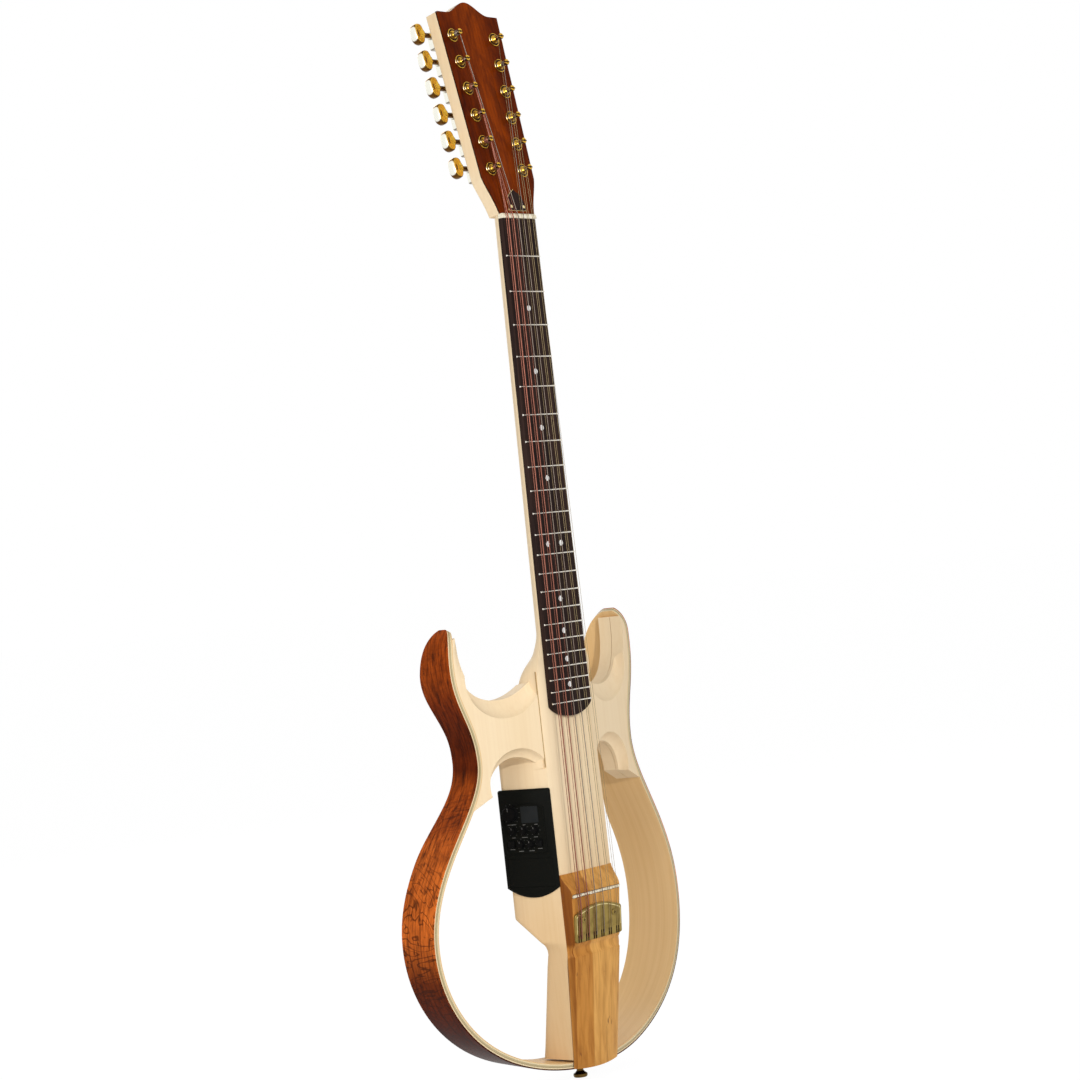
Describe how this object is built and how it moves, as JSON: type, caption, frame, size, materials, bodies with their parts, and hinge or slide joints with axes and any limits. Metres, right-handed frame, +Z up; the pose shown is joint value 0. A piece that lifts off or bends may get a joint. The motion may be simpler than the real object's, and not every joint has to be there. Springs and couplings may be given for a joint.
{
  "type": "twelve-string acoustic-electric guitar",
  "caption": "Acoustic-electric guitar with a through-neck centre beam, open bent-wood body frame, paired strings, slanted headstock with geared tuners and a side preamp panel.",
  "frame": {"origin": "on the centreline at the nut's edge to the fingerboard, level with the tops of the frets", "axes": "+Z runs up the neck to the headstock, the strings face -Y, +X is the treble side"},
  "size_m": [0.3606, 0.1034, 1.0488],
  "materials": {
    "maple": "satin lacquer, straight pale grain",
    "bubinga": "gloss lacquer, reddish brown with dark wavy figure",
    "honey_wood": "satin lacquer, honey brown",
    "rosewood": "open-grained, matt",
    "bone": "off-white",
    "steel": "wound and plain wire",
    "gold": "gold plated, polished",
    "old_gold": "darkened gold plate",
    "black_plastic": "black satin",
    "dark_glass": "dark display window",
    "battery_can": "9 V block battery"
  },
  "bodies": {
    "guitar": {"neck_through_beam": "maple", "wing_front_bass": "maple", "wing_back_bass": "maple", "wing_front_treble": "maple", "wing_back_treble": "maple", "rim_core": "maple", "electronics_housing": "maple", "rim_veneer": "bubinga", "headstock_veneer": "bubinga", "bridge_tail_block": "honey_wood", "fingerboard": "rosewood", "truss_rod_cover": "rosewood", "nut": "bone", "saddle": "bone", "truss_rod": "steel", "piezo_pickup": "steel", "strings": "steel", "tuner_strip_bass": "gold", "tuner_strip_treble": "gold", "tailpiece": "old_gold", "tailpiece_screw_bass": "old_gold", "tailpiece_screw_treble": "old_gold", "tail_strap_pin": "old_gold", "preamp_panel": "black_plastic", "output_jack": "black_plastic", "display_window": "dark_glass", "battery": "battery_can"},
    "tuner_button_bass_1": {"tuner_button_bass_1": "gold"},
    "tuner_post_bass_1": {"tuner_post_bass_1": "gold"},
    "tuner_button_bass_2": {"tuner_button_bass_2": "gold"},
    "tuner_post_bass_2": {"tuner_post_bass_2": "gold"},
    "tuner_button_bass_3": {"tuner_button_bass_3": "gold"},
    "tuner_post_bass_3": {"tuner_post_bass_3": "gold"},
    "tuner_button_bass_4": {"tuner_button_bass_4": "gold"},
    "tuner_post_bass_4": {"tuner_post_bass_4": "gold"},
    "tuner_button_bass_5": {"tuner_button_bass_5": "gold"},
    "tuner_post_bass_5": {"tuner_post_bass_5": "gold"},
    "tuner_button_bass_6": {"tuner_button_bass_6": "gold"},
    "tuner_post_bass_6": {"tuner_post_bass_6": "gold"},
    "tuner_button_treble_1": {"tuner_button_treble_1": "gold"},
    "tuner_post_treble_1": {"tuner_post_treble_1": "gold"},
    "tuner_button_treble_2": {"tuner_button_treble_2": "gold"},
    "tuner_post_treble_2": {"tuner_post_treble_2": "gold"},
    "tuner_button_treble_3": {"tuner_button_treble_3": "gold"},
    "tuner_post_treble_3": {"tuner_post_treble_3": "gold"},
    "tuner_button_treble_4": {"tuner_button_treble_4": "gold"},
    "tuner_post_treble_4": {"tuner_post_treble_4": "gold"},
    "tuner_button_treble_5": {"tuner_button_treble_5": "gold"},
    "tuner_post_treble_5": {"tuner_post_treble_5": "gold"},
    "tuner_button_treble_6": {"tuner_button_treble_6": "gold"},
    "tuner_post_treble_6": {"tuner_post_treble_6": "gold"},
    "volume_knob": {"volume_knob": "black_plastic"},
    "bass_knob": {"bass_knob": "black_plastic"},
    "middle_knob": {"middle_knob": "black_plastic"},
    "treble_knob": {"treble_knob": "black_plastic"},
    "notch_knob": {"notch_knob": "black_plastic"},
    "blend_knob": {"blend_knob": "black_plastic"},
    "phase_button": {"phase_button": "black_plastic"},
    "tuning_meter_button": {"tuning_meter_button": "black_plastic"},
    "battery_door": {"battery_door": "black_plastic"}
  },
  "joints": [
    {"name": "button_turn_bass_1", "type": "hinge", "parent": "guitar", "child": "tuner_button_bass_1", "pos_m": [-0.0227, 0.03081, 0.05248], "axis": [-1, 0, 0], "continuous": true},
    {"name": "post_turn_bass_1", "type": "hinge", "parent": "guitar", "child": "tuner_post_bass_1", "pos_m": [-0.0227, 0.00988, 0.04919], "axis": [0, -0.9837, 0.1797], "continuous": true},
    {"name": "button_turn_bass_2", "type": "hinge", "parent": "guitar", "child": "tuner_button_bass_2", "pos_m": [-0.0241, 0.03574, 0.07942], "axis": [-1, 0, 0], "continuous": true},
    {"name": "post_turn_bass_2", "type": "hinge", "parent": "guitar", "child": "tuner_post_bass_2", "pos_m": [-0.0241, 0.0148, 0.07613], "axis": [0, -0.9837, 0.1797], "continuous": true},
    {"name": "button_turn_bass_3", "type": "hinge", "parent": "guitar", "child": "tuner_button_bass_3", "pos_m": [-0.0255, 0.04066, 0.10637], "axis": [-1, 0, 0], "continuous": true},
    {"name": "post_turn_bass_3", "type": "hinge", "parent": "guitar", "child": "tuner_post_bass_3", "pos_m": [-0.0255, 0.01972, 0.10307], "axis": [0, -0.9837, 0.1797], "continuous": true},
    {"name": "button_turn_bass_4", "type": "hinge", "parent": "guitar", "child": "tuner_button_bass_4", "pos_m": [-0.0269, 0.04558, 0.13331], "axis": [-1, 0, 0], "continuous": true},
    {"name": "post_turn_bass_4", "type": "hinge", "parent": "guitar", "child": "tuner_post_bass_4", "pos_m": [-0.0269, 0.02465, 0.13002], "axis": [0, -0.9837, 0.1797], "continuous": true},
    {"name": "button_turn_bass_5", "type": "hinge", "parent": "guitar", "child": "tuner_button_bass_5", "pos_m": [-0.0283, 0.0505, 0.16026], "axis": [-1, 0, 0], "continuous": true},
    {"name": "post_turn_bass_5", "type": "hinge", "parent": "guitar", "child": "tuner_post_bass_5", "pos_m": [-0.0283, 0.02957, 0.15696], "axis": [0, -0.9837, 0.1797], "continuous": true},
    {"name": "button_turn_bass_6", "type": "hinge", "parent": "guitar", "child": "tuner_button_bass_6", "pos_m": [-0.0297, 0.05542, 0.1872], "axis": [-1, 0, 0], "continuous": true},
    {"name": "post_turn_bass_6", "type": "hinge", "parent": "guitar", "child": "tuner_post_bass_6", "pos_m": [-0.0297, 0.03449, 0.18391], "axis": [0, -0.9837, 0.1797], "continuous": true},
    {"name": "button_turn_treble_1", "type": "hinge", "parent": "guitar", "child": "tuner_button_treble_1", "pos_m": [0.0227, 0.03081, 0.05248], "axis": [1, 0, 0], "continuous": true},
    {"name": "post_turn_treble_1", "type": "hinge", "parent": "guitar", "child": "tuner_post_treble_1", "pos_m": [0.0227, 0.00988, 0.04919], "axis": [0, -0.9837, 0.1797], "continuous": true},
    {"name": "button_turn_treble_2", "type": "hinge", "parent": "guitar", "child": "tuner_button_treble_2", "pos_m": [0.0241, 0.03574, 0.07942], "axis": [1, 0, 0], "continuous": true},
    {"name": "post_turn_treble_2", "type": "hinge", "parent": "guitar", "child": "tuner_post_treble_2", "pos_m": [0.0241, 0.0148, 0.07613], "axis": [0, -0.9837, 0.1797], "continuous": true},
    {"name": "button_turn_treble_3", "type": "hinge", "parent": "guitar", "child": "tuner_button_treble_3", "pos_m": [0.0255, 0.04066, 0.10637], "axis": [1, 0, 0], "continuous": true},
    {"name": "post_turn_treble_3", "type": "hinge", "parent": "guitar", "child": "tuner_post_treble_3", "pos_m": [0.0255, 0.01972, 0.10307], "axis": [0, -0.9837, 0.1797], "continuous": true},
    {"name": "button_turn_treble_4", "type": "hinge", "parent": "guitar", "child": "tuner_button_treble_4", "pos_m": [0.0269, 0.04558, 0.13331], "axis": [1, 0, 0], "continuous": true},
    {"name": "post_turn_treble_4", "type": "hinge", "parent": "guitar", "child": "tuner_post_treble_4", "pos_m": [0.0269, 0.02465, 0.13002], "axis": [0, -0.9837, 0.1797], "continuous": true},
    {"name": "button_turn_treble_5", "type": "hinge", "parent": "guitar", "child": "tuner_button_treble_5", "pos_m": [0.0283, 0.0505, 0.16026], "axis": [1, 0, 0], "continuous": true},
    {"name": "post_turn_treble_5", "type": "hinge", "parent": "guitar", "child": "tuner_post_treble_5", "pos_m": [0.0283, 0.02957, 0.15696], "axis": [0, -0.9837, 0.1797], "continuous": true},
    {"name": "button_turn_treble_6", "type": "hinge", "parent": "guitar", "child": "tuner_button_treble_6", "pos_m": [0.0297, 0.05542, 0.1872], "axis": [1, 0, 0], "continuous": true},
    {"name": "post_turn_treble_6", "type": "hinge", "parent": "guitar", "child": "tuner_post_treble_6", "pos_m": [0.0297, 0.03449, 0.18391], "axis": [0, -0.9837, 0.1797], "continuous": true},
    {"name": "volume_turn", "type": "hinge", "parent": "guitar", "child": "volume_knob", "pos_m": [-0.05047, 0.0494, -0.5683], "axis": [-0.9744, -0.225, 0], "range_deg": [-140, 140]},
    {"name": "bass_turn", "type": "hinge", "parent": "guitar", "child": "bass_knob", "pos_m": [-0.05031, 0.04871, -0.5845], "axis": [-0.9744, -0.225, 0], "range_deg": [-140, 140]},
    {"name": "middle_turn", "type": "hinge", "parent": "guitar", "child": "middle_knob", "pos_m": [-0.04761, 0.03702, -0.5845], "axis": [-0.9744, -0.225, 0], "range_deg": [-140, 140]},
    {"name": "treble_turn", "type": "hinge", "parent": "guitar", "child": "treble_knob", "pos_m": [-0.04491, 0.02533, -0.5845], "axis": [-0.9744, -0.225, 0], "range_deg": [-140, 140]},
    {"name": "notch_turn", "type": "hinge", "parent": "guitar", "child": "notch_knob", "pos_m": [-0.04867, 0.0416, -0.5976], "axis": [-0.9744, -0.225, 0], "range_deg": [-140, 140]},
    {"name": "blend_turn", "type": "hinge", "parent": "guitar", "child": "blend_knob", "pos_m": [-0.04628, 0.03127, -0.5976], "axis": [-0.9744, -0.225, 0], "range_deg": [-140, 140]},
    {"name": "phase_press", "type": "slide", "parent": "guitar", "child": "phase_button", "axis": [0.9744, 0.225, 0], "range_m": [0, 0.0012], "stiffness_N_per_m": 400, "springref_m": -0.001},
    {"name": "tuning_meter_press", "type": "slide", "parent": "guitar", "child": "tuning_meter_button", "axis": [0.9744, 0.225, 0], "range_m": [0, 0.0012], "stiffness_N_per_m": 400, "springref_m": -0.001},
    {"name": "battery_door_hinge", "type": "hinge", "parent": "guitar", "child": "battery_door", "pos_m": [-0.05279, 0.0581, -0.6115], "axis": [-0.225, 0.9744, 0], "range_deg": [0, 95]}
  ],
  "couplings": [
    {"joint": "post_turn_bass_1", "follows": "button_turn_bass_1", "ratio": -0.0625},
    {"joint": "post_turn_bass_2", "follows": "button_turn_bass_2", "ratio": -0.0625},
    {"joint": "post_turn_bass_3", "follows": "button_turn_bass_3", "ratio": -0.0625},
    {"joint": "post_turn_bass_4", "follows": "button_turn_bass_4", "ratio": -0.0625},
    {"joint": "post_turn_bass_5", "follows": "button_turn_bass_5", "ratio": -0.0625},
    {"joint": "post_turn_bass_6", "follows": "button_turn_bass_6", "ratio": -0.0625},
    {"joint": "post_turn_treble_1", "follows": "button_turn_treble_1", "ratio": 0.0625},
    {"joint": "post_turn_treble_2", "follows": "button_turn_treble_2", "ratio": 0.0625},
    {"joint": "post_turn_treble_3", "follows": "button_turn_treble_3", "ratio": 0.0625},
    {"joint": "post_turn_treble_4", "follows": "button_turn_treble_4", "ratio": 0.0625},
    {"joint": "post_turn_treble_5", "follows": "button_turn_treble_5", "ratio": 0.0625},
    {"joint": "post_turn_treble_6", "follows": "button_turn_treble_6", "ratio": 0.0625}
  ]
}
